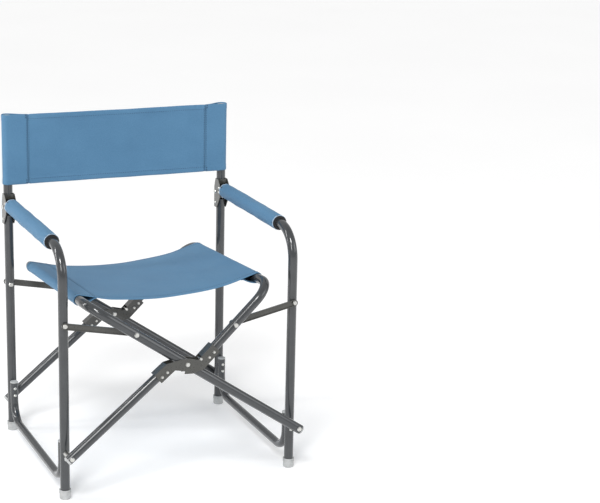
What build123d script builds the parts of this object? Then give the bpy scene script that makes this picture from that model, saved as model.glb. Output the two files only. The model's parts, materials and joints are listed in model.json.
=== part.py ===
"""A folding director's chair: two steel side frames with padded arms, a scissor of two seat
frames, four link bars, a fold-down back, and canvas slings for the seat and the back.

Frame: X across the chair (+X is the sitter's left), Y front to rear, Z up, in millimetres.
The front faces -Y. The origin is on the floor, under the middle of the chair.
"""

import os
from math import asin, atan2, cos, degrees, hypot, radians, sin, sqrt, tan

from build123d import *

# ---- driving dimensions ------------------------------------------------------------------
SIDE_SPAN = 550.0        # between the two side frames, tube axis to tube axis
FRAME_DEPTH = 466.0      # between the front and rear uprights, axis to axis
BACK_HEIGHT = 800.0      # floor to the top of the back sling
ARM_HEIGHT = 580.0       # floor to the axis of the arm tube
SEAT_HEIGHT = 434.0      # floor to the axis of the seat rails, halfway along them
RIGHT_RAIL_RISE = 12.0   # the right seat rail is this much higher than the left one
PIVOT_HEIGHT = 95.0      # floor to the line of the lower pivots, halfway along it
LEG_ANGLE = 34.3         # slope of the scissor when the chair is open, in degrees
FOLD_ANGLE = 34.0        # how far each scissor leg turns when the chair is folded, in degrees
LEAN = 4.0               # the scissor's pivots all slope down to the rear by this, in degrees

TUBE = 22.0              # outside diameter of the uprights, arms, legs and back posts
WALL = 1.5               # wall of every steel tube
BASE_TUBE = 19.0         # outside diameter of the base rails
ARM_BEND = 70.0          # bend radius from the front leg into the arm
SEAT_BEND = 50.0         # bend radius from a scissor leg into its seat rail
BASE_BEND = 50.0         # bend radius of the base rail
BASE_DROP = 35.0         # floor to the axis of the base rail's low run
BASE_TOP = 130.0         # floor to the ends of the base rail

FRONT_LEG_GAP = 28.5     # from the front upright's face to the leg's face, at the pivot
REAR_LEG_GAP = 2.4       # the same at the rear upright
LEG_OVERRUN = 7.0        # tube left beyond a lower pivot
LINK_REACH = 143.0       # from the crossing pivot to the link rivets on the scissor legs
LINK_WIDTH = 15.0
LINK_DEPTH = 4.0
LINK_PLAY = 0.9          # gap between a link and the scissor leg beside it
SHEET = 1.6              # sheet steel of the brackets and links
CROSS_OFFSET = 24.0      # the cut legs pass this far beside the crossing pivot
UPPER_KINK = 8.8         # the cut frame's upper leg is this much steeper, in degrees
SLEEVE_START = 36.0      # from the crossing pivot to the near end of a bracket channel
SLEEVE_LENGTH = 36.0     # length of a bracket channel

RIVET = 6.0              # pivot rivets
SMALL_RIVET = 4.0        # fixing rivets
HEAD_RATIO = 1.9         # head diameter over shank diameter
HEAD_HEIGHT = 2.4
PIVOT_PLAY = 0.05        # radial clearance of a turning joint
FIT_PLAY = 0.3           # clearance between parts that sit side by side
HEAD_PLAY = 0.2          # clearance under a turning joint's head
SLIP_PLAY = 0.05         # radial clearance of a part slipped over a tube, and of a plug in it
SPACER = 13.0            # outside diameter of the pivot spacers

BRACKET_TOP = 606.0      # back hinge bracket, floor to its top
BRACKET_BOTTOM = 545.0
UPRIGHT_TOP = 552.0      # floor to the top of the rear upright
HINGE_HEIGHT = 571.0     # floor to the back hinge pin
HINGE_SETBACK = 6.0      # the pin is this far behind the post's axis

FOAM = 34.0              # outside diameter of the foam arm pad
PAD = 38.0               # outside diameter of the pad's canvas sleeve
SLEEVE_INSET = 4.0       # the foam shows this far past each end of its sleeve
PAD_FRONT = -152.0       # Y of the pad's front end
PAD_REAR = 202.0         # Y of the pad's rear end

FOOT = 25.5              # outside diameter of a foot cap
FOOT_HEIGHT = 22.0
FOOT_FLOOR = 3.0         # plastic under the tube

CANVAS = 1.5             # thickness of the canvas, as modelled
SEAT_SAG = 26.0          # dip in the middle of the seat sling
SEAT_FRONT = -206.0      # Y of the seat sling's front edge
SEAT_REAR = 206.0        # Y of the seat sling's rear edge
BACK_SLING_BOTTOM = 629.0
POST_CLEAR = 4.0         # the back posts end this far below the sling's top

# ---- derived places ----------------------------------------------------------------------
R = TUBE / 2
SIDE_X = SIDE_SPAN / 2
FRONT_Y = -FRAME_DEPTH / 2
LEG_Y = {"front": -FRAME_DEPTH / 2 - TUBE - FRONT_LEG_GAP, "rear": FRAME_DEPTH / 2 + TUBE + REAR_LEG_GAP}
LEG_RADIUS = SIDE_X / cos(radians(LEG_ANGLE))
CROSS_Z = PIVOT_HEIGHT + SIDE_X * tan(radians(LEG_ANGLE))
HOLE = RIVET / 2 + PIVOT_PLAY
SIDES = {"left": -1, "right": 1}   # as seen from the front
ENDS = {"front": -1, "rear": 1}


def along(angle, distance, side=0.0):
    """A step in the XZ plane: distance along a direction, then side to the left of it."""
    a = radians(angle)
    return distance * cos(a) - side * sin(a), distance * sin(a) + side * cos(a)


# The whole frame carries the left seat rail and runs straight through the crossing.
WHOLE_ANGLE = 180 - LEG_ANGLE
whole_reach = (SEAT_HEIGHT - CROSS_Z) / sin(radians(LEG_ANGLE))
WHOLE_RAIL_X = -whole_reach * cos(radians(LEG_ANGLE))
# The cut frame carries the right seat rail, and is broken by a bracket at the crossing.
LOWER_ANGLE = LEG_ANGLE + degrees(asin(CROSS_OFFSET / LEG_RADIUS))
UPPER_ANGLE = LEG_ANGLE + UPPER_KINK
upper_foot_x, upper_foot_z = along(UPPER_ANGLE, 0, -CROSS_OFFSET)
upper_reach = (SEAT_HEIGHT + RIGHT_RAIL_RISE - CROSS_Z - upper_foot_z) / sin(radians(UPPER_ANGLE))
CUT_RAIL_X = upper_foot_x + upper_reach * cos(radians(UPPER_ANGLE))

# Link rivets. The height on the uprights makes each link as long open as folded.
folded = LEG_ANGLE + FOLD_ANGLE
open_x = (LEG_RADIUS - LINK_REACH) * cos(radians(LEG_ANGLE))
open_z = (LEG_RADIUS + LINK_REACH) * sin(radians(LEG_ANGLE))
shut_x = (LEG_RADIUS - LINK_REACH) * cos(radians(folded))
shut_z = (LEG_RADIUS + LINK_REACH) * sin(radians(folded))
LINK_Z = PIVOT_HEIGHT + (open_x**2 + open_z**2 - shut_x**2 - shut_z**2) / (2 * (open_z - shut_z))
whole_link_x, whole_link_z = along(WHOLE_ANGLE, LINK_REACH)
upper_link = sqrt(LINK_REACH**2 - CROSS_OFFSET**2)
cut_link_x, cut_link_z = along(UPPER_ANGLE, upper_link, -CROSS_OFFSET)
LINK_ENDS = {"left": (whole_link_x, CROSS_Z + whole_link_z), "right": (cut_link_x, CROSS_Z + cut_link_z)}


def leaned(shape):
    """A shape drawn with level pivots, tipped down to the rear with the scissor."""
    return Pos(0, 0, PIVOT_HEIGHT) * Rot(-LEAN, 0, 0) * Pos(0, 0, -PIVOT_HEIGHT) * shape


def upright_y(end, z, face=0.0):
    """Before tipping, the Y of an upright's axis at a height, plus an offset towards its leg."""
    drop = (z - PIVOT_HEIGHT) * sin(radians(LEAN))
    return (ENDS[end] * FRAME_DEPTH / 2 - drop) / cos(radians(LEAN)) + ENDS[end] * face


# ---- shared shapes -----------------------------------------------------------------------
def cross_plane(x, y, z):
    """A plane facing +Y with its origin at a point, so extrusions run front to rear."""
    return Plane(origin=(x, y, z), x_dir=(-1, 0, 0), z_dir=(0, 1, 0))


def tube_solid(points, bends, outer, wall=WALL):
    """A round tube along straight runs joined by bends."""
    with BuildPart() as tube:
        with BuildLine() as path:
            if len(points) > 2:
                FilletPolyline(*points, radius=bends)
            else:
                Line(*points)
        start = path.line @ 0
        with BuildSketch(Plane(origin=start, z_dir=path.line % 0)):
            Circle(outer / 2)
            Circle(outer / 2 - wall, mode=Mode.SUBTRACT)
        sweep(path=path.line)
    return tube.part


def drill(solid, x, y, z, radius, axis="y", reach=60.0, tipped=False):
    """The solid with a round hole through it along Y or X, or along the tipped pivots."""
    turn = (90, 0, 0) if axis == "y" else (0, 90, 0)
    tool = Pos(x, y, z) * Rot(*turn) * Cylinder(radius, reach)
    return solid - (leaned(tool) if tipped else tool)


def rivet_solid(plane, shank, length, front_head=True, rear_head=True):
    """A domed rivet whose shank starts at the plane and runs along its normal."""
    head = shank * HEAD_RATIO / 2
    with BuildPart() as rivet:
        with BuildSketch(plane):
            Circle(shank / 2)
        extrude(amount=length)
        for wanted, at, outward in ((front_head, 0, -1), (rear_head, length, 1)):
            if wanted:
                with BuildSketch(plane.offset(at)):
                    Circle(head)
                extrude(amount=outward * HEAD_HEIGHT, taper=28)
    return rivet.part


nodes = {}


def save(solid, name):
    nodes[name] = [solid]


def save_group(solids, name):
    nodes[name] = list(solids)


# ---- side frames -------------------------------------------------------------------------
def frame_holes(solid, side, end):
    """Holes of the pivot, base rail and link rivets through one upright."""
    x = SIDES[side] * SIDE_X
    for z in (PIVOT_HEIGHT, LINK_Z):
        solid = drill(solid, x, upright_y(end, z), z, RIVET / 2, tipped=True)
    for z in BASE_RIVETS[end]:
        solid = drill(solid, x, ENDS[end] * FRAME_DEPTH / 2, z, SMALL_RIVET / 2)
    return solid


BASE_RIVETS = {"front": [97.0], "rear": [116.0, 98.0]}   # floor to the rail's fixing rivets
SPACER_LIFT = 0.5        # a spacer starts this far off the upright, which it leans against
SPACER_PLAY = 0.3
HEAD_LIFT = 0.45         # a tipped rivet's head stands this far off the upright
# the face of each link nearest its upright, before tipping
LINK_FACE = {end: LEG_Y[end] - sy * (R + LINK_PLAY + LINK_DEPTH) for end, sy in ENDS.items()}
BASE_Y = FRAME_DEPTH / 2 - R - BASE_TUBE / 2 - FIT_PLAY   # the base rail's upright ends
ARM_END = FRAME_DEPTH / 2 - R - 6.0                      # rear end of the arm tube
ARM_RIVET_Y = ARM_END - 5.0
PIN_Y = FRAME_DEPTH / 2 + HINGE_SETBACK
FLANGE = R + FIT_PLAY                                    # from a post's axis to a flange
arm_rivets = [(ARM_RIVET_Y, ARM_HEIGHT + 5.5), (ARM_RIVET_Y, ARM_HEIGHT - 5.5)]
upright_rivet = (FRAME_DEPTH / 2 + 3.0, BRACKET_BOTTOM - 6.0 + 4.0)

for side, sx in SIDES.items():
    x = sx * SIDE_X

    # front leg and arm, one bent tube
    corner = (x, FRONT_Y, ARM_HEIGHT)
    leg_arm = tube_solid([(x, FRONT_Y, FOOT_FLOOR), corner, (x, ARM_END, ARM_HEIGHT)], ARM_BEND, TUBE)
    leg_arm = frame_holes(leg_arm, side, "front")
    for y, z in arm_rivets:
        leg_arm = drill(leg_arm, x, y, z, SMALL_RIVET / 2, axis="x")
    save(leg_arm, f"{side}_front_leg_arm")

    # rear upright, from the foot cap to the back hinge
    upright = tube_solid([(x, -FRONT_Y, FOOT_FLOOR), (x, -FRONT_Y, UPRIGHT_TOP)], 0, TUBE)
    upright = frame_holes(upright, side, "rear")
    upright = drill(upright, x, upright_rivet[0], upright_rivet[1], SMALL_RIVET / 2, axis="x")
    save(upright, f"{side}_rear_upright")

    # base rail, a shallow U between the uprights
    rail_points = [(x, -BASE_Y, BASE_TOP), (x, -BASE_Y, BASE_DROP),
                   (x, BASE_Y, BASE_DROP), (x, BASE_Y, BASE_TOP)]
    base = tube_solid(rail_points, BASE_BEND, BASE_TUBE)
    base = drill(base, x, -BASE_Y, PIVOT_HEIGHT, RIVET / 2, tipped=True)
    for end, sy in ENDS.items():
        for z in BASE_RIVETS[end]:
            base = drill(base, x, sy * BASE_Y, z, SMALL_RIVET / 2)
    save(base, f"{side}_base_rail")

    plugs = []
    for y in (-BASE_Y, BASE_Y):
        with BuildPart() as plug:
            with BuildSketch(Plane.XY.offset(BASE_TOP)):
                with Locations((x, y)):
                    Circle(BASE_TUBE / 2 + FIT_PLAY / 2)
            extrude(amount=3.0)
            fillet(plug.faces().sort_by(Axis.Z)[-1].edges(), 1.5)
            with BuildSketch(Plane.XY.offset(BASE_TOP)):
                with Locations((x, y)):
                    Circle(BASE_TUBE / 2 - WALL - 2 * SLIP_PLAY)
            extrude(amount=-10.0)
        plugs.append(plug.part)
    save_group(plugs, f"{side}_base_rail_plugs")

    # foot caps, with two moulded ribs
    for end, sy in ENDS.items():
        with BuildPart() as cap:
            with BuildSketch():
                with Locations((x, sy * FRAME_DEPTH / 2)):
                    Circle(FOOT / 2)
            extrude(amount=FOOT_HEIGHT)
            fillet(cap.faces().sort_by(Axis.Z)[0].edges(), 2.0)
            for z in (FOOT_HEIGHT - 3.0, FOOT_HEIGHT - 8.0):
                with BuildSketch(Plane.XY.offset(z)):
                    with Locations((x, sy * FRAME_DEPTH / 2)):
                        Circle(FOOT / 2 + 0.8)
                extrude(amount=3.0)
            with BuildSketch(Plane.XY.offset(FOOT_FLOOR)):
                with Locations((x, sy * FRAME_DEPTH / 2)):
                    Circle(R + SLIP_PLAY)
            extrude(amount=FOOT_HEIGHT, mode=Mode.SUBTRACT)
        save(cap.part, f"{side}_{end}_foot_cap")

    # arm pad: foam on the tube, a canvas sleeve on the foam
    for name, outer, inner, inset in (
        ("arm_foam", FOAM / 2, R + SLIP_PLAY, 0.0),
        ("arm_sleeve", PAD / 2, FOAM / 2 + SLIP_PLAY, SLEEVE_INSET),
    ):
        with BuildPart() as pad:
            with BuildSketch(cross_plane(x, PAD_FRONT + inset, ARM_HEIGHT)):
                Circle(outer)
                Circle(inner, mode=Mode.SUBTRACT)
            extrude(amount=PAD_REAR - PAD_FRONT - 2 * inset)
        save(pad.part, f"{side}_{name}")

    # back hinge bracket: two flanges, and a web in front that the post stands against
    flange_front = ARM_RIVET_Y - 4.5
    flange_rear = FRAME_DEPTH / 2 + R + 1.0
    with BuildPart() as bracket:
        for face in (-1, 1):
            plane = Plane(origin=(x + face * FLANGE, 0, 0), x_dir=(0, 1, 0), z_dir=(face, 0, 0))
            with BuildSketch(plane):
                with BuildLine():
                    top_front = FRAME_DEPTH / 2 - R - FIT_PLAY - SHEET
                    flip = face   # keeps +Z up on the mirrored plane
                    Polyline(
                        (flange_front, flip * (BRACKET_BOTTOM + 18)),
                        (flange_front, flip * (ARM_HEIGHT + 12)),
                        (top_front, flip * BRACKET_TOP),
                        (flange_rear - 8, flip * BRACKET_TOP),
                        (flange_rear, flip * (HINGE_HEIGHT + 12)),
                        (flange_rear, flip * (BRACKET_BOTTOM - 14)),
                        (top_front + 8, flip * (BRACKET_BOTTOM - 14)),
                        close=True,
                    )
                make_face()
            extrude(amount=SHEET)
        web_z = ARM_HEIGHT + R + 3.0
        with BuildSketch(cross_plane(x, top_front, (web_z + BRACKET_TOP) / 2)):
            Rectangle(2 * FLANGE + SHEET, BRACKET_TOP - web_z)
        extrude(amount=SHEET)
    bracket = bracket.part
    for y, z in arm_rivets + [upright_rivet]:
        bracket = drill(bracket, x, y, z, SMALL_RIVET / 2, axis="x")
    bracket = drill(bracket, x, PIN_Y, HINGE_HEIGHT, RIVET / 2, axis="x")
    save(bracket, f"{side}_back_bracket")

    # rivets that stay with the side frame
    outer_face = FLANGE + SHEET
    across = [rivet_solid(Plane(origin=(x - outer_face, y, z), z_dir=(1, 0, 0)), SMALL_RIVET, 2 * outer_face)
              for y, z in arm_rivets + [upright_rivet]]
    save_group(across, f"{side}_bracket_rivets")
    pin_plane = Plane(origin=(x - outer_face, PIN_Y, HINGE_HEIGHT), z_dir=(1, 0, 0))
    pin = rivet_solid(pin_plane, RIVET, 2 * outer_face)
    save(pin, f"{side}_back_hinge_pin")

    pivots, fixings, link_rivets, spacers = [], [], [], []
    for end, sy in ENDS.items():
        # lower pivot: through the upright, its spacer and the leg; in front also the base rail
        inner = sy * (BASE_Y - BASE_TUBE / 2) if end == "front" else upright_y(end, PIVOT_HEIGHT, -R)
        plane = Plane(origin=(x, inner, PIVOT_HEIGHT), z_dir=(0, sy, 0))
        shank = abs(LEG_Y[end] + sy * R - inner)
        # the rear rivet's inner end is flush, to clear the base rail
        pivots.append(leaned(rivet_solid(plane, RIVET, shank, front_head=end == "front")))
        for z in BASE_RIVETS[end]:
            plane = Plane(origin=(x, sy * (BASE_Y - BASE_TUBE / 2), z), z_dir=(0, sy, 0))
            fixings.append(rivet_solid(plane, SMALL_RIVET, FRAME_DEPTH / 2 + R - BASE_Y + BASE_TUBE / 2))
        # link pivot: through the upright and the link
        inner = upright_y(end, LINK_Z, -R - HEAD_LIFT)
        plane = Plane(origin=(x, inner, LINK_Z), z_dir=(0, sy, 0))
        shank = abs(LINK_FACE[end] + sy * (LINK_DEPTH + HEAD_PLAY) - inner)
        link_rivets.append(leaned(rivet_solid(plane, RIVET, shank)))
        for z, far in ((PIVOT_HEIGHT, LEG_Y[end] - sy * R), (LINK_Z, LINK_FACE[end])):
            seat_y = upright_y(end, z, R + SPACER_LIFT)
            length = abs(far - seat_y) - SPACER_PLAY
            if length < SPACER_PLAY:
                continue
            with BuildPart() as spacer:
                with BuildSketch(Plane(origin=(x, seat_y, z), z_dir=(0, sy, 0))):
                    Circle(SPACER / 2)
                    Circle(RIVET / 2, mode=Mode.SUBTRACT)
                extrude(amount=length)
            spacers.append(leaned(spacer.part))
    save_group(pivots, f"{side}_leg_pivot_rivets")
    save_group(fixings, f"{side}_base_rail_rivets")
    save_group(link_rivets, f"{side}_link_pivot_rivets")
    save_group(spacers, f"{side}_pivot_spacers")

    # back post, which folds down behind the chair, and its end cap
    post_top = BACK_HEIGHT - POST_CLEAR
    post_bottom = HINGE_HEIGHT - 14.0
    post = tube_solid([(x, -FRONT_Y, post_bottom), (x, -FRONT_Y, post_top - 2.0)], 0, TUBE)
    save(drill(post, x, PIN_Y, HINGE_HEIGHT, HOLE, axis="x"), f"{side}_back_post")
    with BuildPart() as cap:
        with BuildSketch(Plane.XY.offset(post_top - 2.0)):
            with Locations((x, -FRONT_Y)):
                Circle(R)
        extrude(amount=2.0)
        with BuildSketch(Plane.XY.offset(post_top - 2.0)):
            with Locations((x, -FRONT_Y)):
                Circle(R - WALL - 2 * SLIP_PLAY)
        extrude(amount=-12.0)
    save(cap.part, f"{side}_back_post_cap")


# ---- scissor: two seat frames --------------------------------------------------------------
def plug_solid(x, y, z, angle):
    """A domed plug in a leg's lower end, facing down the leg."""
    dx, dz = along(angle + 180, LEG_OVERRUN)
    plane = Plane(origin=(x + dx, y, z + dz), z_dir=(cos(radians(angle + 180)), 0, sin(radians(angle + 180))))
    with BuildPart() as plug:
        with BuildSketch(plane):
            Circle(R)
        extrude(amount=5.0)
        fillet(plug.faces().sort_by(Axis(plane.origin, plane.z_dir))[-1].edges(), 4.0)
        with BuildSketch(plane):
            Circle(R - WALL - 2 * SLIP_PLAY)
        extrude(amount=-3.0)
    return plug.part


def seat_frame(foot, angle, rail_x, rail_z, overrun):
    """A U of tube: a front leg, the seat rail and a rear leg, in one sloping plane."""
    dx, dz = along(angle + 180, overrun)
    start = (foot[0] + dx, foot[1] + dz)
    front, rear = LEG_Y["front"], LEG_Y["rear"]
    points = [(start[0], front, start[1]), (rail_x, front, rail_z),
              (rail_x, rear, rail_z), (start[0], rear, start[1])]
    return tube_solid(points, SEAT_BEND, TUBE)


whole = seat_frame((SIDE_X, PIVOT_HEIGHT), WHOLE_ANGLE, WHOLE_RAIL_X, SEAT_HEIGHT, LEG_OVERRUN)
upper_start = SLEEVE_START + 2.0
upper_at = along(UPPER_ANGLE, upper_start, -CROSS_OFFSET)
cut_foot = (upper_at[0], CROSS_Z + upper_at[1])
cut = seat_frame(cut_foot, UPPER_ANGLE, CUT_RAIL_X, SEAT_HEIGHT + RIGHT_RAIL_RISE, 0.0)
lower_run = sqrt(LEG_RADIUS**2 - CROSS_OFFSET**2) - upper_start
channel_rivets = [SLEEVE_START + 10.0, SLEEVE_START + 26.0]
RIVET_SHIFT = -3.5      # channel rivets sit this far below the tube's axis
cut_rivets = [along(UPPER_ANGLE, d, -CROSS_OFFSET + RIVET_SHIFT) for d in channel_rivets]
low_rivets = [along(LOWER_ANGLE + 180, d, -CROSS_OFFSET - RIVET_SHIFT) for d in channel_rivets]
pin_at = along(UPPER_ANGLE, SLEEVE_START - 6.0, -CROSS_OFFSET + 9.0)
plate_face = R + FIT_PLAY

whole_plugs, lower_plugs, whole_link_rivets, cut_link_rivets, bracket_rivets = [], [], [], [], []
for end, sy in ENDS.items():
    y = LEG_Y[end]
    whole = drill(whole, SIDE_X, y, PIVOT_HEIGHT, HOLE)
    whole = drill(whole, 0, y, CROSS_Z, HOLE)
    whole = drill(whole, LINK_ENDS["left"][0], y, LINK_ENDS["left"][1], RIVET / 2)
    cut = drill(cut, LINK_ENDS["right"][0], y, LINK_ENDS["right"][1], RIVET / 2)
    for dx, dz in cut_rivets:
        cut = drill(cut, dx, y, CROSS_Z + dz, SMALL_RIVET / 2)

    # lower leg of the cut frame
    start = along(LOWER_ANGLE + 180, LEG_OVERRUN)
    finish = along(LOWER_ANGLE, lower_run)
    lower_points = [(dx - SIDE_X, y, dz + PIVOT_HEIGHT) for dx, dz in (start, finish)]
    lower = tube_solid(lower_points, 0, TUBE)
    lower = drill(lower, -SIDE_X, y, PIVOT_HEIGHT, HOLE)
    for dx, dz in low_rivets:
        lower = drill(lower, dx, y, CROSS_Z + dz, SMALL_RIVET / 2)
    save(leaned(lower), f"{end}_lower_leg")
    whole_plugs.append(plug_solid(SIDE_X, y, PIVOT_HEIGHT, WHOLE_ANGLE))
    lower_plugs.append(plug_solid(-SIDE_X, y, PIVOT_HEIGHT, LOWER_ANGLE))

    # crossing bracket: two plates, and a channel web over each tube
    def corner(angle, distance, side):
        dx, dz = along(angle, distance, side)
        return dx, CROSS_Z + dz

    half = R + FIT_PLAY + SHEET
    far = SLEEVE_START + SLEEVE_LENGTH
    low, up = LOWER_ANGLE + 180, UPPER_ANGLE
    outline = [
        corner(low, far, -CROSS_OFFSET - half), corner(low, far, -CROSS_OFFSET + half),
        corner(low, SLEEVE_START - 6, -CROSS_OFFSET + half), corner(low, 14, 7),
        (-8, CROSS_Z - 21), (12, CROSS_Z - 22), corner(up, 18, -CROSS_OFFSET - half),
        corner(up, far, -CROSS_OFFSET - half), corner(up, far, -CROSS_OFFSET + half),
        corner(up, SLEEVE_START - 12, -CROSS_OFFSET + half), (2, CROSS_Z + 14), (-14, CROSS_Z + 14),
        corner(low, SLEEVE_START, -CROSS_OFFSET - half),
    ]
    webs = [
        [corner(angle, near_or_far, -CROSS_OFFSET + side) for near_or_far, side in (
            (SLEEVE_START, edge), (far, edge), (far, edge + inward), (SLEEVE_START, edge + inward))]
        for angle, edge, inward in ((low, -half, SHEET), (up, half, -SHEET))
    ]
    with BuildPart() as cross_bracket:
        for face in (-1, 1):
            with BuildSketch(Plane.XZ.offset(-(y + face * plate_face) + (0 if face < 0 else -SHEET))):
                with BuildLine():
                    Polyline(*outline, close=True)
                make_face()
            extrude(amount=SHEET)
        for web in webs:
            with BuildSketch(Plane.XZ.offset(-(y + plate_face + SHEET))):
                with BuildLine():
                    Polyline(*web, close=True)
                make_face()
            extrude(amount=2 * (plate_face + SHEET))
    bracket = cross_bracket.part
    for dx, dz in cut_rivets + low_rivets + [pin_at]:
        bracket = drill(bracket, dx, y, CROSS_Z + dz, SMALL_RIVET / 2)
    bracket = drill(bracket, 0, y, CROSS_Z, RIVET / 2)
    save(leaned(bracket), f"{end}_cross_bracket")

    reach = plate_face + SHEET
    save(leaned(rivet_solid(cross_plane(0, y - reach, CROSS_Z), RIVET, 2 * reach)), f"{end}_cross_pivot")
    for dx, dz in cut_rivets + low_rivets:
        bracket_rivets.append(rivet_solid(cross_plane(dx, y - reach, CROSS_Z + dz), SMALL_RIVET, 2 * reach))
    for name, stubs in (("left", whole_link_rivets), ("right", cut_link_rivets)):
        ex, ez = LINK_ENDS[name]
        plane = Plane(origin=(ex, y - sy * R, ez), z_dir=(0, sy, 0))
        stubs.append(rivet_solid(plane, RIVET, TUBE, front_head=False))

# stop pins beside the upper channels, through both plates of each bracket
stop_pins = []
for end in ENDS:
    plane = cross_plane(pin_at[0], LEG_Y[end] - plate_face - SHEET, CROSS_Z + pin_at[1])
    stop_pins.append(rivet_solid(plane, SMALL_RIVET, 2 * (plate_face + SHEET)))

save(leaned(whole), "left_seat_frame")
save(leaned(cut), "right_seat_frame")
for name, solids in (
    ("left_seat_frame_plugs", whole_plugs),
    ("lower_leg_plugs", lower_plugs),
    ("cross_bracket_rivets", bracket_rivets),
    ("cross_bracket_pins", stop_pins),
    ("left_frame_link_rivets", whole_link_rivets),
    ("right_frame_link_rivets", cut_link_rivets),
):
    save_group([leaned(solid) for solid in solids], name)


# ---- link bars: pressed channels from the uprights to the scissor legs ---------------------
for side, sx in SIDES.items():
    for end, sy in ENDS.items():
        ux, uz = sx * SIDE_X, LINK_Z
        ex, ez = LINK_ENDS[side]
        length = hypot(ex - ux, ez - uz)
        tilt = atan2(ez - uz, ex - ux)
        plane = Plane(origin=(ux, LINK_FACE[end], uz), x_dir=(cos(tilt), 0, sin(tilt)), z_dir=(0, sy, 0))
        with BuildPart() as link:
            with BuildSketch(plane):
                with Locations((length / 2, 0)):
                    SlotCenterToCenter(length, LINK_WIDTH)
            extrude(amount=LINK_DEPTH)
            with BuildSketch(plane.offset(SHEET)):
                with Locations((length / 2, 0)):
                    SlotCenterToCenter(length, LINK_WIDTH - 2 * SHEET)
            extrude(amount=LINK_DEPTH, mode=Mode.SUBTRACT)
            with BuildSketch(plane):
                with Locations((0, 0), (length, 0)):
                    Circle(HOLE)
            extrude(amount=LINK_DEPTH, mode=Mode.SUBTRACT)
        save(leaned(link.part), f"{side}_{end}_link")


# ---- canvas slings -------------------------------------------------------------------------
SLEEVE_IN = R + FIT_PLAY
SLEEVE_OUT = SLEEVE_IN + CANVAS
mid = SLEEVE_IN + CANVAS / 2
chord = hypot(CUT_RAIL_X - WHOLE_RAIL_X, RIGHT_RAIL_RISE)
chord_x, chord_z = (CUT_RAIL_X - WHOLE_RAIL_X) / chord, RIGHT_RAIL_RISE / chord
edge_slope = degrees(atan2(4 * SEAT_SAG, chord))
tx, tz = along(90 - edge_slope, mid)
seat_corner = (WHOLE_RAIL_X, SEAT_REAR, SEAT_HEIGHT)
seat_plane = Plane(origin=seat_corner, x_dir=(chord_x, 0, chord_z), z_dir=(0, -1, 0))
with BuildPart() as seat:
    with BuildSketch(seat_plane):
        with BuildLine(mode=Mode.PRIVATE):
            dip = ThreePointArc((tx, tz), (chord / 2, tz - SEAT_SAG + tx), (chord - tx, tz))
        SlotArc(dip, CANVAS)
        with Locations((0, 0), (chord, 0)):
            Circle(SLEEVE_OUT)
            Circle(SLEEVE_IN, mode=Mode.SUBTRACT)
    extrude(amount=SEAT_REAR - SEAT_FRONT)
save(leaned(seat.part), "seat_sling")

with BuildPart() as back:
    with BuildSketch(Plane.XY.offset(BACK_SLING_BOTTOM)):
        with Locations((0, -FRONT_Y - mid)):
            Rectangle(SIDE_SPAN, CANVAS)
        with Locations((-SIDE_X, -FRONT_Y), (SIDE_X, -FRONT_Y)):
            Circle(SLEEVE_OUT)
            Circle(SLEEVE_IN, mode=Mode.SUBTRACT)
    extrude(amount=BACK_HEIGHT - BACK_SLING_BOTTOM)
save(back.part, "back_sling")


# ---- centre the chair on its own depth, and write every node -------------------------------
os.makedirs("parts", exist_ok=True)
low = min(solid.bounding_box().min.Y for solids in nodes.values() for solid in solids)
high = max(solid.bounding_box().max.Y for solids in nodes.values() for solid in solids)
middle = (low + high) / 2
for name, solids in nodes.items():
    centred = [Pos(0, -middle, 0) * solid for solid in solids]
    node = centred[0] if len(centred) == 1 else Compound(children=centred)
    node.label = name
    export_step(node, f"parts/{name}.step")
print("depth middle", round(middle, 3), "depth", round(high - low, 2))
print("link rivets", round(LINK_Z, 3), {side: [round(v, 3) for v in at] for side, at in LINK_ENDS.items()})
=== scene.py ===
# %% [markdown]
# # A folding director's chair, dressed over its CAD frame
#
# The CAD gives every tube, bracket, rivet and link its exact place. This lesson adds what CAD does
# badly: the canvas slings with their sleeves, hems and stitching, the padded arms, and a surface for
# each material. Units are metres, -Y is the front and +Z is up. In names, left is the -X side, as seen
# by someone who faces the chair.

import json
from math import atan2, cos, hypot, pi, radians, sin

import bmesh
import bpy
from mathutils import Matrix, Vector, noise


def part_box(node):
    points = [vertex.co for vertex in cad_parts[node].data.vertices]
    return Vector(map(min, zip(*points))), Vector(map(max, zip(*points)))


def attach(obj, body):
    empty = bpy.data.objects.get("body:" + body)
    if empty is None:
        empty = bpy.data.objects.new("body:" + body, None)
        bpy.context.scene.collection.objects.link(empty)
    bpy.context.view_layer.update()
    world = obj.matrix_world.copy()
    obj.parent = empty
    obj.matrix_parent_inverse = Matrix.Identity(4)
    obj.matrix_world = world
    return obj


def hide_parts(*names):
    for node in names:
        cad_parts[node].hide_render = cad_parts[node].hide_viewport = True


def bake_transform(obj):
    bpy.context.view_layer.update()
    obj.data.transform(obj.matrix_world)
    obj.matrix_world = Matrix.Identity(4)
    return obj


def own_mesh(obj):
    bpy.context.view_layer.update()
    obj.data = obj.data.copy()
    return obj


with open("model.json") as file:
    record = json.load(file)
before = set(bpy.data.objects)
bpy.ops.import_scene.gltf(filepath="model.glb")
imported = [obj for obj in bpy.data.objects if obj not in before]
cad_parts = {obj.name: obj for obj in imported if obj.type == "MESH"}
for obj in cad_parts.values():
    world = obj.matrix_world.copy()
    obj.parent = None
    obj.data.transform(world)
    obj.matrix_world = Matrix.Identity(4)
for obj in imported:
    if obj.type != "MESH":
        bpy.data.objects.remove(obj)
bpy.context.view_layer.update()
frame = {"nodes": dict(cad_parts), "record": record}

# %% [markdown]
# ## Measured places
#
# The posts, the slings and the arm pads are placed from the CAD's boxes. What a box doesn't tell, such
# as the tube's radius, the lean and the heights of the rails and pivots, repeats the CAD's own values and
# has to change with them. The rails lean down to the rear, so the seat is drawn level and then tipped
# about the chair's X axis.

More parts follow.
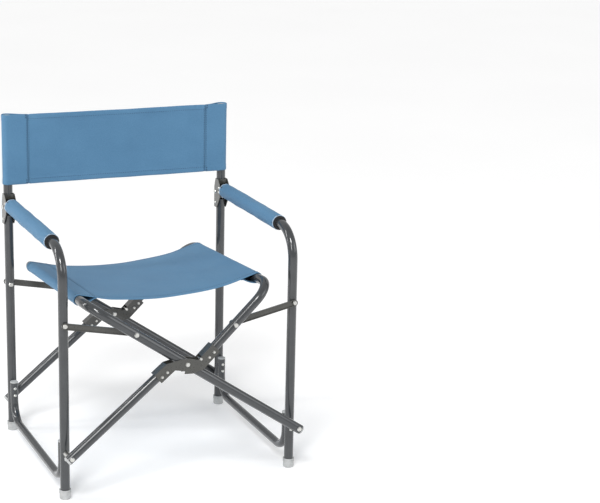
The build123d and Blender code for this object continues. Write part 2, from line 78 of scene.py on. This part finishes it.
# %% Read the frame's sizes
TUBE_R = 0.011
LEAN = radians(4.0)
RIGHT_RAIL_RISE = 0.012
PIVOT_HEIGHT = 0.095
RAIL_HEIGHT = 0.434
HALF_FRAME_DEPTH = 0.233
SLING_SKIN = 0.0018  # the CAD's sling reaches this far past a rail's surface
CLOTH = 0.0012
TUBE_GAP = 0.0004

sling_low, sling_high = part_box("seat_sling")
back_low, back_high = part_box("back_sling")
post_low, post_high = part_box("left_back_post")
POST_X = (post_low[0] + post_high[0]) / 2
POST_Y = (post_low[1] + post_high[1]) / 2
SLEEVE_R = TUBE_R + TUBE_GAP + CLOTH / 2
LEFT_RAIL = sling_low[0] + TUBE_R + SLING_SKIN
rail_end_x = sling_high[0] - TUBE_R - SLING_SKIN
rise_angle = atan2(RIGHT_RAIL_RISE, rail_end_x - LEFT_RAIL)
chord = (rail_end_x - LEFT_RAIL) / cos(rise_angle)
RIGHT_RAIL = LEFT_RAIL + chord
mid_y = POST_Y - HALF_FRAME_DEPTH
print("seat rails at X", round(LEFT_RAIL, 4), round(RIGHT_RAIL, 4), "posts at", round(POST_X, 4))


def tipped(x, y, z):
    """A point drawn with level seat rails: raised to the right, then tipped down to the rear."""
    dx, dz = x - LEFT_RAIL, z - RAIL_HEIGHT
    x = LEFT_RAIL + dx * cos(rise_angle) - dz * sin(rise_angle)
    dy = y - mid_y
    dz = RAIL_HEIGHT + dx * sin(rise_angle) + dz * cos(rise_angle) - PIVOT_HEIGHT
    y = mid_y + dy * cos(LEAN) + dz * sin(LEAN)
    return Vector((x, y, PIVOT_HEIGHT - dy * sin(LEAN) + dz * cos(LEAN)))


# %% [markdown]
# ## Shader arithmetic
#
# Node trees read better as formulas. `Value` wraps an output socket, so that `a * 2 + b` builds the
# maths nodes it names.

# %% A small language for shader maths


class Value:
    """An output socket that adds and multiplies by making nodes."""

    def __init__(self, tree, socket):
        self.tree, self.socket = tree, socket

    def _math(self, operation, *others):
        node = self.tree.nodes.new("ShaderNodeMath")
        node.operation = operation
        for slot, value in zip(node.inputs, (self, *others)):
            if isinstance(value, Value):
                self.tree.links.new(value.socket, slot)
            else:
                slot.default_value = value
        return Value(self.tree, node.outputs[0])

    def __add__(self, other):
        return self._math("ADD", other)

    def __mul__(self, other):
        return self._math("MULTIPLY", other)

    __radd__ = __add__
    __rmul__ = __mul__

    def sine(self):
        return self._math("SINE")

    def power(self, other):
        return self._math("POWER", other)

    def clamped(self, low=0.0, high=1.0):
        return self._math("MAXIMUM", low)._math("MINIMUM", high)


class Surface:
    """One material: a Principled shader and the procedural textures that feed it."""

    def __init__(self, name, **constants):
        self.material = bpy.data.materials.new(name)
        self.material.use_nodes = True
        self.tree = self.material.node_tree
        self.shader = self.tree.nodes["Principled BSDF"]
        for socket, value in constants.items():
            self.shader.inputs[socket.replace("_", " ")].default_value = value

    def node(self, kind, settings=None, sockets=None):
        """Add a node, set it up, and give its sockets their values or links."""
        node = self.tree.nodes.new(kind)
        for name, setting in (settings or {}).items():
            setattr(node, name, setting)
        for name, value in (sockets or {}).items():
            if isinstance(value, Value):
                self.tree.links.new(value.socket, node.inputs[name])
            else:
                node.inputs[name].default_value = value
        return node

    def coordinates(self, cloth_map=None):
        """The piece's own UV map if one is named, and otherwise its Object coordinates."""
        if cloth_map:
            return Value(self.tree, self.node("ShaderNodeUVMap", {"uv_map": cloth_map}).outputs["UV"])
        return Value(self.tree, self.node("ShaderNodeTexCoord").outputs["Object"])

    def axes(self, vector):
        node = self.node("ShaderNodeSeparateXYZ", sockets={0: vector})
        return [Value(self.tree, out) for out in node.outputs]

    def noise(self, vector, scale, detail=4.0, roughness=0.55, distortion=0.0):
        sockets = {"Vector": vector, "Scale": scale, "Detail": detail, "Roughness": roughness,
                   "Distortion": distortion}
        return Value(self.tree, self.node("ShaderNodeTexNoise", sockets=sockets).outputs["Fac"])

    def ramp(self, value, *stops):
        """Colours from a value, by stops of a place and a colour."""
        node = self.node("ShaderNodeValToRGB", sockets={0: value})
        elements = node.color_ramp.elements
        while len(elements) < len(stops):
            elements.new(0.5)
        for element, (place, colour) in zip(elements, stops):
            element.position = place
            element.color = (*colour, 1.0)
        return Value(self.tree, node.outputs[0])

    def feed(self, socket, value):
        self.tree.links.new(value.socket, self.shader.inputs[socket])

    def bump(self, height, distance, strength=1.0):
        """Add a bump on top of any that the shader already has."""
        sockets = {"Distance": distance, "Strength": strength, "Height": height}
        node = self.node("ShaderNodeBump", sockets=sockets)
        previous = self.shader.inputs["Normal"].links
        if previous:
            self.tree.links.new(previous[0].from_socket, node.inputs["Normal"])
        self.tree.links.new(node.outputs[0], self.shader.inputs["Normal"])


print("shader helpers ready")

# %% [markdown]
# ## Materials
#
# Canvas is a basket weave with slubs and faint fading. The tubes carry dark gloss enamel with orange
# peel and small scuffs. Rivets are bright zinc, caps are moulded grey plastic and the pads are foam.

# %% Canvas
WEAVE_PITCH = 0.0011


def canvas_surface(name, low, mid, high, sheen=0.06):
    s = Surface(name, Roughness=0.78, Sheen_Weight=sheen, Sheen_Roughness=0.5)
    uv = s.coordinates("cloth")
    u, v, _ = s.axes(uv)
    warp = (u * (2 * pi / WEAVE_PITCH)).sine()
    weft = (v * (2 * pi / WEAVE_PITCH)).sine()
    weave = (warp * weft) * 0.5 + 0.5
    slub = s.noise(uv, scale=300.0, detail=5.0, roughness=0.7)
    cloudy = s.noise(uv, scale=9.0, detail=5.0, roughness=0.6)
    tone = cloudy * 0.35 + slub * 0.5 + weave * 0.15
    s.feed("Base Color", s.ramp(tone, (0.3, low), (0.5, mid), (0.72, high)))
    s.feed("Roughness", cloudy * 0.12 + 0.72)
    s.bump(s.noise(uv, scale=26.0, detail=5.0, roughness=0.6), distance=0.0016, strength=0.5)
    s.bump(weave + slub * 0.8, distance=0.00022, strength=0.6)
    return s.material


BLUES = (0.062, 0.170, 0.300), (0.082, 0.210, 0.355), (0.105, 0.250, 0.405)
PALE_BLUES = (0.25, 0.36, 0.48), (0.33, 0.45, 0.58), (0.42, 0.53, 0.66)
canvas = canvas_surface("canvas", *BLUES)
binding = canvas_surface("binding", *PALE_BLUES, sheen=0.15)

thread_surface = Surface("thread", Roughness=0.6)
thread_wave = thread_surface.noise(thread_surface.coordinates(), scale=900.0, detail=2.0)
thread_blues = (0.3, (0.018, 0.050, 0.100)), (0.7, (0.035, 0.085, 0.150))
thread_surface.feed("Base Color", thread_surface.ramp(thread_wave, *thread_blues))
thread = thread_surface.material
print("canvas, binding and thread")

# %% Enamel, zinc, plastic and foam


def enamel_surface(name, dark, light, rough):
    s = Surface(name, Metallic=0.0, IOR=1.52)
    where = s.coordinates()
    mottle = s.noise(where, scale=34.0, detail=5.0, roughness=0.6)
    scuff = s.noise(where, scale=210.0, detail=6.0, roughness=0.7, distortion=0.8)
    s.feed("Base Color", s.ramp(mottle * 0.6 + scuff * 0.4, (0.32, dark), (0.68, light)))
    s.feed("Roughness", (scuff.power(4.0) * 0.5 + rough).clamped(0.05, 0.9))
    s.shader.inputs["Coat Roughness"].default_value = 0.06
    s.feed("Coat Weight", (mottle * 0.25 + 0.35).clamped())
    s.bump(s.noise(where, scale=620.0, detail=2.0), distance=0.00006, strength=0.5)
    return s.material


tube_paint = enamel_surface("tube_paint", (0.030, 0.033, 0.036), (0.043, 0.047, 0.051), 0.14)
bracket_paint = enamel_surface("bracket_paint", (0.038, 0.038, 0.034), (0.055, 0.055, 0.048), 0.26)

zinc_surface = Surface("zinc", Metallic=1.0)
zinc_where = zinc_surface.coordinates()
zinc_grain = zinc_surface.noise(zinc_where, scale=380.0, detail=5.0, roughness=0.65)
zinc_greys = (0.3, (0.50, 0.50, 0.48)), (0.7, (0.78, 0.78, 0.75))
zinc_surface.feed("Base Color", zinc_surface.ramp(zinc_grain, *zinc_greys))
zinc_surface.feed("Roughness", zinc_grain * 0.3 + 0.14)
zinc_surface.bump(zinc_grain, distance=0.00008, strength=0.4)
zinc = zinc_surface.material

plastic_surface = Surface("grey_plastic", IOR=1.48)
plastic_where = plastic_surface.coordinates()
plastic_dust = plastic_surface.noise(plastic_where, scale=60.0, detail=6.0, roughness=0.65)
plastic_greys = (0.35, (0.36, 0.37, 0.37)), (0.6, (0.50, 0.51, 0.51))
plastic_surface.feed("Base Color", plastic_surface.ramp(plastic_dust, *plastic_greys))
plastic_surface.feed("Roughness", plastic_dust * 0.25 + 0.36)
plastic_grain = plastic_surface.noise(plastic_where, scale=1500.0, detail=2.0)
plastic_surface.bump(plastic_grain, distance=0.00008, strength=0.5)
grey_plastic = plastic_surface.material

foam_surface = Surface("foam")
foam_where = foam_surface.coordinates()
foam_cells = foam_surface.noise(foam_where, scale=1400.0, detail=3.0, roughness=0.7)
foam_blacks = (0.35, (0.008, 0.008, 0.009)), (0.7, (0.030, 0.030, 0.032))
foam_surface.feed("Base Color", foam_surface.ramp(foam_cells, *foam_blacks))
foam_surface.feed("Roughness", foam_cells * 0.2 + 0.75)
foam_surface.bump(foam_cells, distance=0.0004, strength=0.8)
foam = foam_surface.material

SLOTS = {"tube_paint": tube_paint, "bracket_paint": bracket_paint, "zinc": zinc,
         "grey_plastic": grey_plastic, "foam": foam, "canvas": canvas}
for part in frame["record"]["subparts"]:
    node = frame["nodes"][part["node"]]
    node.data.materials.clear()
    node.data.materials.append(SLOTS[part["material_slot"]])

# %% [markdown]
# ## Cloth as a thick sheet
#
# A sheet is a grid of middle points. Each point is pushed out and in along the surface normal by half
# the local thickness, so hems and doubled sleeves are truly thicker than the open cloth.

# %% A thick sheet from a grid of points


def thick_sheet(name, rows, thickness, flat, material, levels=1):
    """A sheet from middle points rows[i][j], each with its thickness and its place on the cloth."""
    count_i, count_j = len(rows), len(rows[0])
    bm = bmesh.new()
    layer = bm.loops.layers.uv.new("cloth")
    sides = []
    for sign in (0.5, -0.5):
        side = []
        for i in range(count_i):
            line = []
            for j in range(count_j):
                along_i = rows[min(i + 1, count_i - 1)][j] - rows[max(i - 1, 0)][j]
                along_j = rows[i][min(j + 1, count_j - 1)] - rows[i][max(j - 1, 0)]
                normal = along_i.cross(along_j).normalized()
                line.append(bm.verts.new(rows[i][j] + normal * (sign * thickness(i, j))))
            side.append(line)
        sides.append(side)
    place = {}
    for side in sides:
        for i in range(count_i):
            for j in range(count_j):
                place[side[i][j]] = flat(i, j)
    top, under = sides
    for i in range(count_i - 1):
        for j in range(count_j - 1):
            bm.faces.new((top[i][j], top[i + 1][j], top[i + 1][j + 1], top[i][j + 1]))
            bm.faces.new((under[i][j], under[i][j + 1], under[i + 1][j + 1], under[i + 1][j]))
    for i in range(count_i - 1):
        bm.faces.new((top[i + 1][0], top[i][0], under[i][0], under[i + 1][0]))
        bm.faces.new((top[i][-1], top[i + 1][-1], under[i + 1][-1], under[i][-1]))
    for j in range(count_j - 1):
        bm.faces.new((top[0][j], top[0][j + 1], under[0][j + 1], under[0][j]))
        bm.faces.new((top[-1][j + 1], top[-1][j], under[-1][j], under[-1][j + 1]))
    for face in bm.faces:
        face.smooth = True
        for loop in face.loops:
            loop[layer].uv = place[loop.vert]
    return finish_mesh(name, bm, material, levels)


def finish_mesh(name, bm, material, levels=0):
    """An object from a bmesh, with outward normals and an optional subdivision."""
    bmesh.ops.recalc_face_normals(bm, faces=bm.faces)
    mesh = bpy.data.meshes.new(name)
    bm.to_mesh(mesh)
    bm.free()
    mesh.materials.append(material)
    obj = bpy.data.objects.new(name, mesh)
    bpy.context.scene.collection.objects.link(obj)
    if levels:
        modifier = obj.modifiers.new("smooth", "SUBSURF")
        modifier.levels = modifier.render_levels = levels
    return obj


def polyline_lengths(points):
    """Distance along a line of points, at each point."""
    total, out = 0.0, [0.0]
    for a, b in zip(points, points[1:]):
        total += hypot(b[0] - a[0], b[1] - a[1])
        out.append(total)
    return out


def sleeve_arc(centre, radius, start, end, count):
    """Points on an arc about a tube, from one angle to another, in degrees."""
    out = []
    for k in range(count + 1):
        a = radians(start + (end - start) * k / count)
        out.append((centre[0] + radius * cos(a), centre[1] + radius * sin(a)))
    return out


print("sheet builder ready")

# %% [markdown]
# ## Seat sling
#
# One cloth runs from a seam under the left rail, round that rail, across the seat in a shallow dip,
# round the right rail and back to its own seam. The front and rear edges are hemmed.

# %% Seat sling
SEAT_SEAM = 0.036
SEAT_SAG = 0.026
HEM = 0.015
HEM_EXTRA = 0.9  # a hem is this much thicker than the open cloth
HALF_SEAT_DEPTH = 0.204
FLAP_DROP = 0.0018  # a sleeve's free edge lies this far under the seat's upper layer
SEAM_EDGE = 0.006  # cloth left beyond a sleeve's seam
seat_front, seat_rear = mid_y - HALF_SEAT_DEPTH, mid_y + HALF_SEAT_DEPTH
edge_slope = atan2(4 * SEAT_SAG, chord)


def seat_top(x):
    """Height of the seat's upper layer above the rail axis at an X."""
    t = (x - LEFT_RAIL) / chord
    return SLEEVE_R * cos(edge_slope) - 4 * SEAT_SAG * t * (1 - t) * 0.98


seam_x = LEFT_RAIL + SEAT_SEAM
left_flap = [(seam_x + SEAM_EDGE, RAIL_HEIGHT + seat_top(seam_x + SEAM_EDGE) - FLAP_DROP),
             (seam_x, RAIL_HEIGHT + seat_top(seam_x) - FLAP_DROP),
             (LEFT_RAIL + 0.026, RAIL_HEIGHT - 0.0052), (LEFT_RAIL + 0.014, RAIL_HEIGHT - 0.0105)]
left_wrap = sleeve_arc((LEFT_RAIL, RAIL_HEIGHT), SLEEVE_R, -75, -283, 16)
seat_line = left_flap + left_wrap
seat_steps = 46
for k in range(1, seat_steps):
    x = LEFT_RAIL + 0.006 + (chord - 0.012) * k / seat_steps
    seat_line.append((x, RAIL_HEIGHT + seat_top(x)))
mirror = [(LEFT_RAIL + RIGHT_RAIL - x, z) for x, z in left_flap + left_wrap]
seat_line += mirror[::-1]
seat_lengths = polyline_lengths(seat_line)
seat_columns = [0.0, 0.004, HEM - 0.002, HEM + 0.001]
seat_length = seat_rear - seat_front
middle_columns = [HEM + (seat_length - 2 * HEM) * k / 34 for k in range(1, 34)]
seat_columns = seat_columns + middle_columns + [seat_length - v for v in seat_columns[::-1]]


def seat_point(i, v):
    """The cloth's middle at a point of the seat's line and a depth along it, with its ripples."""
    x, z = seat_line[i]
    clear_left = min(1.0, max(0.0, (x - LEFT_RAIL - 0.02) / 0.05))
    clear_right = min(1.0, max(0.0, (RIGHT_RAIL - 0.02 - x) / 0.05))
    inside = clear_left * clear_right
    edge = min(v, seat_length - v)
    slack = 0.0045 * inside * max(0.0, 1 - edge / 0.05) ** 2
    ripple = 0.0011 * inside * noise.noise(Vector((x * 14, v * 9, 0.3)))
    on_top = 1 if z > RAIL_HEIGHT else 0.3
    pull = 0.0009 * noise.noise(Vector((x * 60, v * 34, 1.7))) * (1 - inside) * on_top
    return tipped(x, seat_front + v, z - slack + ripple + pull * 0.5)


def seat_thickness(_, j):
    v = seat_columns[j]
    hem = 1.0 if min(v, seat_length - v) < HEM - 0.001 else 0.0
    return CLOTH * (1.0 + HEM_EXTRA * hem)


seat_rows = [[seat_point(i, v) for v in seat_columns] for i in range(len(seat_line))]
seat = thick_sheet("seat_canvas", seat_rows, seat_thickness,
                   lambda i, j: (seat_lengths[i], seat_columns[j]), canvas)
seat_ends = (tipped(LEFT_RAIL + 0.03, mid_y, RAIL_HEIGHT), tipped(RIGHT_RAIL - 0.03, mid_y, RAIL_HEIGHT))

# %% [markdown]
# ## Stitching
#
# Thread is built as short rounded dashes along a line of points, lying on the cloth.

# %% Stitch rows
STITCH = 0.0042
STITCH_GAP = 0.0016
THREAD_R = 0.00055
STITCH_LIFT = CLOTH * 0.62
HEM_LIFT = CLOTH * 0.95


def stitch_row(bm, points, normal_of, lift):
    """Add a row of stitches along a line of points."""
    travelled, at = 0.0, 0.0
    for a, b in zip(points, points[1:]):
        run = (b - a).length
        while at < travelled + run:
            start = a.lerp(b, (at - travelled) / run) if run else a
            direction = (b - a).normalized()
            normal = normal_of(start)
            middle = start + direction * (STITCH / 2) + normal * lift
            side = direction.cross(normal).normalized()
            turn = Matrix((direction, side, normal)).transposed().to_4x4()
            shape = Matrix.Translation(middle) @ turn @ Matrix.Diagonal((STITCH / 2, THREAD_R, THREAD_R, 1.0))
            bmesh.ops.create_icosphere(bm, subdivisions=1, radius=1.0, matrix=shape)
            at += STITCH + STITCH_GAP
        travelled += run


def seat_surface(x, y):
    """The seat cloth's middle at the point of its line nearest an X."""
    nearest = min(range(len(left_flap), len(seat_line)), key=lambda i: abs(seat_line[i][0] - x))
    return seat_point(nearest, y - seat_front)


def up_from_seat(_):
    return Vector((0, sin(LEAN), cos(LEAN)))


# %% Seat stitches
bm = bmesh.new()
for edge in (0.0, 0.005):
    for x in (LEFT_RAIL + SEAT_SEAM + edge, RIGHT_RAIL - SEAT_SEAM - edge):
        line = [seat_surface(x, seat_front + seat_length * k / 60) for k in range(61)]
        line = [Vector((x, p.y, p.z)) for p in line]
        stitch_row(bm, line, up_from_seat, STITCH_LIFT)
for v in (HEM - 0.003, seat_length - HEM + 0.003):
    line = [seat_point(i, v) for i in range(len(left_flap) + 8, len(seat_line) - len(left_flap) - 8)]
    stitch_row(bm, line, up_from_seat, HEM_LIFT)
seat_stitches = finish_mesh("seat_stitches", bm, thread)
print("seat stitches", len(seat_stitches.data.polygons), "faces")

# %% [markdown]
# ## Back sling
#
# The real back is one cloth with a wide sleeve at each end, and two rows of stitches close each sleeve
# round its post. Here it is three pieces that meet at the seams, so that each sleeve can stay with its
# own post. The top and bottom edges are hemmed, and bar tacks hold the sleeves' corners.

# %% Back sling
BACK_SEAM = 0.045
front_y = POST_Y - SLEEVE_R
back_height = back_high[2] - back_low[2]


def back_half_line(sign):
    """Seam, round behind the post, round its outer side and to the front, in X and Y."""
    post = (sign * abs(POST_X), POST_Y)
    start, end = (110, -90) if sign > 0 else (70, 270)
    arc = sleeve_arc(post, SLEEVE_R, start, end, 20)
    seam = [(sign * (abs(POST_X) - BACK_SEAM - SEAM_EDGE), front_y + 0.0016),
            (sign * (abs(POST_X) - BACK_SEAM), front_y + 0.0018),
            (sign * (abs(POST_X) - 0.030), front_y + 0.0075),
            (sign * (abs(POST_X) - 0.012), POST_Y + 0.0085)]
    return seam + arc


BACK_JOIN = abs(POST_X) - BACK_SEAM - 0.003
flap_start = abs(POST_X) - 0.008
flap_steps, panel_steps = 6, 50


def front_run(start, end, steps):
    """Points along the front of the back sling, from one X to another."""
    return [(start + (end - start) * k / steps, front_y) for k in range(steps + 1)]


panel = front_run(-BACK_JOIN, BACK_JOIN, panel_steps)
back_lines = {
    "left": back_half_line(-1) + front_run(-flap_start, -BACK_JOIN, flap_steps),
    "right": back_half_line(1) + front_run(flap_start, BACK_JOIN, flap_steps),
    "panel": panel,
}
back_columns = [0.0, 0.004, HEM - 0.002, HEM + 0.001]
back_middle = [HEM + (back_height - 2 * HEM) * k / 22 for k in range(1, 22)]
back_columns = back_columns + back_middle + [back_height - v for v in back_columns[::-1]]


def back_point(place, v):
    """The cloth's middle at a place along the sling and a height up it, with its wrinkles."""
    x, y = place
    depth = abs(POST_X) - abs(x)
    inside = min(1.0, max(0.0, (depth - 0.03) / 0.06))
    broad = 0.0016 * noise.noise(Vector((x * 5, v * 17, 4.1)))
    crease = broad + 0.0012 * noise.noise(Vector((x * 22, v * 5, 9.0)))
    drag = 0.0012 * sin(v * 120 + x * 30) * max(0.0, 1 - abs(depth - 0.06) / 0.05) * inside
    belly = 0.006 * (1 - (x / abs(POST_X)) ** 2) * sin(pi * v / back_height)
    edge = 0.0016 * noise.noise(Vector((x * 9, v * 3, 2.2))) * inside
    return Vector((x, y + inside * (crease + belly) + drag, back_low[2] + v + edge * 0.6 - 0.0008))


def back_thickness(_, j):
    v = back_columns[j]
    hem = 1.0 if min(v, back_height - v) < HEM - 0.001 else 0.0
    return CLOTH * (1.0 + HEM_EXTRA * hem)


back_pieces, back_widths = {}, {}
for name, line in back_lines.items():
    lengths = polyline_lengths(line)
    back_widths[name] = lengths[-1]
    rows = [[back_point(place, v) for v in back_columns] for place in line]
    back_pieces[name] = thick_sheet(
        f"back_{name}", rows, back_thickness, lambda i, j: (lengths[i], back_columns[j]), canvas
    )
print("back sling", round(sum(back_widths.values()), 3), "by", round(back_height, 3))

# %% Back stitches and bar tacks


def front_of_back(_):
    return Vector((0, -1, 0))


def back_row(x):
    """A vertical line of points up the back sling at an X."""
    return [back_point((x, front_y), 0.002 + (back_height - 0.006) * k / 30) for k in range(31)]


back_stitches = {}
for name, sign in (("left", -1), ("right", 1)):
    bm = bmesh.new()
    stitch_row(bm, back_row(sign * (abs(POST_X) - BACK_SEAM)), front_of_back, STITCH_LIFT)
    for v in (0.006, back_height - 0.006):
        for k in range(3):
            p = back_point((sign * (abs(POST_X) - BACK_SEAM + 0.0012 * k), front_y), v)
            tack = [p + Vector((0, 0, -0.004)), p + Vector((0, 0, 0.004))]
            stitch_row(bm, tack, front_of_back, CLOTH)
    back_stitches[name] = finish_mesh(f"back_{name}_stitches", bm, thread)
bm = bmesh.new()
for sign in (-1, 1):
    seam_row = back_row(sign * (abs(POST_X) - BACK_SEAM - SEAM_EDGE))
    stitch_row(bm, seam_row, front_of_back, STITCH_LIFT)
for v in (HEM - 0.003, back_height - HEM + 0.003):
    stitch_row(bm, [back_point(place, v) for place in panel], front_of_back, HEM_LIFT)
back_stitches["panel"] = finish_mesh("back_panel_stitches", bm, thread)
print("back stitches in", len(back_stitches), "groups")

# %% [markdown]
# ## Arm pads
#
# Each pad is a foam tube in a canvas sleeve. The sleeve is drawn tight over the foam, bulges a little
# between gathers, and turns in at each end under a pale binding. A closure seam runs underneath.

# %% Arm sleeves
PAD_RINGS = 64
PAD_SIDES = 56
PAD_OPENING_R = 0.0171  # the sleeve turns in as far as the foam
BINDING_R = 0.0016
BINDING_SIDES = 8


def arm_pad(side):
    """One padded sleeve, its two bindings and its closure seam."""
    low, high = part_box(f"{side}_arm_sleeve")
    centre_x, centre_z = (low[0] + high[0]) / 2, (low[2] + high[2]) / 2
    radius = (high[0] - low[0]) / 2
    bm = bmesh.new()
    layer = bm.loops.layers.uv.new("cloth")
    rings = []
    seed = 3.0 if side == "left" else 8.0
    for i in range(PAD_RINGS + 1):
        t = i / PAD_RINGS
        y = low[1] + (high[1] - low[1]) * t
        end = min(t, 1 - t) * (high[1] - low[1])
        turn_in = -0.0016 * max(0.0, 1 - end / 0.009) ** 2
        ring = []
        for j in range(PAD_SIDES):
            a = 2 * pi * j / PAD_SIDES
            folds = 0.0011 * noise.noise(Vector((cos(a) * 1.8, y * 26, seed + sin(a) * 1.8)))
            gathers = 0.0009 * sin(a * 9 + seed) * max(0.0, 1 - end / 0.03)
            under = max(0.0, -sin(a)) ** 8
            r = radius - 0.0008 + turn_in + folds + gathers - 0.0012 * under
            ring.append(bm.verts.new((centre_x + r * cos(a), y, centre_z + r * sin(a))))
        rings.append(ring)
    for edge_ring in (rings[0], rings[-1]):
        y = edge_ring[0].co.y
        inner = []
        for j in range(PAD_SIDES):
            a = 2 * pi * j / PAD_SIDES
            place = (centre_x + PAD_OPENING_R * cos(a), y, centre_z + PAD_OPENING_R * sin(a))
            inner.append(bm.verts.new(place))
        for j in range(PAD_SIDES):
            k = (j + 1) % PAD_SIDES
            bm.faces.new((edge_ring[j], edge_ring[k], inner[k], inner[j]))
    for i in range(PAD_RINGS):
        for j in range(PAD_SIDES):
            k = (j + 1) % PAD_SIDES
            bm.faces.new((rings[i][j], rings[i + 1][j], rings[i + 1][k], rings[i][k]))
    for face in bm.faces:
        face.smooth = True
        for loop in face.loops:
            p = loop.vert.co
            angle = atan2(p.z - centre_z, p.x - centre_x)
            loop[layer].uv = (angle * radius, p.y)
    sleeve = finish_mesh(f"{side}_sleeve", bm, canvas, 1)
    trims = []
    for name, y in (("front", low[1]), ("rear", high[1])):
        bm = bmesh.new()
        layer = bm.loops.layers.uv.new("cloth")
        grid = []
        for j in range(PAD_SIDES):
            a = 2 * pi * j / PAD_SIDES
            r = radius - 0.0024 + 0.0003 * sin(a * 9 + seed)
            loop_line = []
            for k in range(BINDING_SIDES):
                b = 2 * pi * k / BINDING_SIDES
                rr = r + BINDING_R * cos(b)
                place = (centre_x + rr * cos(a), y + BINDING_R * 1.4 * sin(b), centre_z + rr * sin(a))
                loop_line.append(bm.verts.new(place))
            grid.append(loop_line)
        for j in range(PAD_SIDES):
            here, following = grid[j], grid[(j + 1) % PAD_SIDES]
            for k in range(BINDING_SIDES):
                m = (k + 1) % BINDING_SIDES
                face = bm.faces.new((here[k], following[k], following[m], here[m]))
                face.smooth = True
                for loop in face.loops:
                    loop[layer].uv = (loop.vert.co.x, loop.vert.co.z)
        trims.append(finish_mesh(f"{side}_{name}_binding", bm, binding, 1))
    bm = bmesh.new()
    seam_z = centre_z - radius + 0.0016
    for x in (centre_x - 0.004, centre_x + 0.004):
        line = [Vector((x, low[1] + (high[1] - low[1]) * k / 40, seam_z)) for k in range(1, 40)]
        stitch_row(bm, line, lambda _: Vector((0, 0, -1)), 0.0)
    trims.append(finish_mesh(f"{side}_sleeve_seam", bm, thread))
    return sleeve, trims


for side in ("left", "right"):
    sleeve, trims = arm_pad(side)
    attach(sleeve, f"{side}_side")
    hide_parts(f"{side}_arm_sleeve")
    for trim in trims:
        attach(trim, f"{side}_side")
print("arm pads dressed")

# %% [markdown]
# ## How the cloth moves
#
# The seat hangs between two rails that turn about one pivot, and here it stays where it was drawn,
# on no body. Each back sleeve rides on its own post. The panel between them rides on the left post.

# %% Motion of the slings
for piece in (seat, seat_stitches):
    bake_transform(piece)
for pieces in (back_pieces, back_stitches):
    for name, piece in pieces.items():
        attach(piece, "right_back" if name == "right" else "left_back")
    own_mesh(pieces["panel"])
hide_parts("seat_sling")
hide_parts("back_sling")
for name, piece in back_pieces.items():
    posts = [f"{side}_back_post" for side in ("left", "right") if name in (side, "panel")]

# %% [markdown]
# ## Room, light and camera
#
# A pale floor runs into a pale world. A soft key light from the front left, a sun, a fill from the front
# right and one narrow strip behind on the left give the enamel its long highlights.

# %% Stage
WHITE = (1.0, 1.0, 1.0, 1.0)
floor_surface = Surface("floor", Roughness=0.7, Emission_Color=WHITE, Emission_Strength=0.17)
floor_noise = floor_surface.noise(floor_surface.coordinates(), scale=1.2, detail=3.0)
floor_whites = (0.3, (0.90, 0.90, 0.90)), (0.7, (0.92, 0.92, 0.92))
floor_surface.feed("Base Color", floor_surface.ramp(floor_noise, *floor_whites))
bm = bmesh.new()
bmesh.ops.create_grid(bm, x_segments=1, y_segments=1, size=30)
floor = finish_mesh("floor", bm, floor_surface.material)
bpy.context.scene.view_settings.view_transform = "Standard"

world = bpy.data.worlds.new("studio")
world.use_nodes = True
background = world.node_tree.nodes["Background"]
background.inputs["Color"].default_value = WHITE
background.inputs["Strength"].default_value = 0.56
bpy.context.scene.world = world


def area_light(name, place, target, size, power, colour=(1, 1, 1)):
    light = bpy.data.lights.new(name, "AREA")
    light.shape = "RECTANGLE"
    light.size, light.size_y = size
    light.energy = power
    light.color = colour
    obj = bpy.data.objects.new(name, light)
    obj.location = place
    obj.rotation_euler = (Vector(target) - Vector(place)).to_track_quat("-Z", "Y").to_euler()
    bpy.context.scene.collection.objects.link(obj)


area_light("key", (-1.9, -2.9, 2.3), (0, 0, 0.4), (0.8, 1.2), 26)
sun_data = bpy.data.lights.new("sun", "SUN")
sun_data.energy = 1.3
sun_data.angle = radians(16)
sun = bpy.data.objects.new("sun", sun_data)
sun.rotation_euler = (-Vector((-1.0, -1.5, 2.2))).to_track_quat("-Z", "Y").to_euler()
bpy.context.scene.collection.objects.link(sun)
area_light("fill", (2.8, -2.4, 2.0), (0, 0, 0.4), (2.2, 1.6), 22, (0.96, 0.98, 1.0))
area_light("strip", (-2.2, 0.8, 1.6), (0, 0, 0.4), (0.25, 2.2), 18)
print("stage lit")

# %% Camera
AZIMUTH, PITCH, ROLL = radians(24.002), radians(15.024), radians(1.378)
AIM = Vector((0.39616, mid_y, 0.46146))
DISTANCE = 4.26907
ahead = Vector((sin(AZIMUTH) * cos(PITCH), cos(AZIMUTH) * cos(PITCH), -sin(PITCH)))
level = Vector((cos(AZIMUTH), -sin(AZIMUTH), 0))
above = level.cross(ahead)
right = level * cos(ROLL) + above * sin(ROLL)
top = above * cos(ROLL) - level * sin(ROLL)
camera_data = bpy.data.cameras.new("camera")
camera_data.lens = 103.74
camera_data.sensor_width = 36.0
camera_data.sensor_fit = "HORIZONTAL"
camera = bpy.data.objects.new("camera", camera_data)
turn = Matrix((right, top, -ahead)).transposed().to_4x4()
camera.matrix_world = Matrix.Translation(AIM - ahead * DISTANCE) @ turn
bpy.context.scene.collection.objects.link(camera)
bpy.context.scene.camera = camera
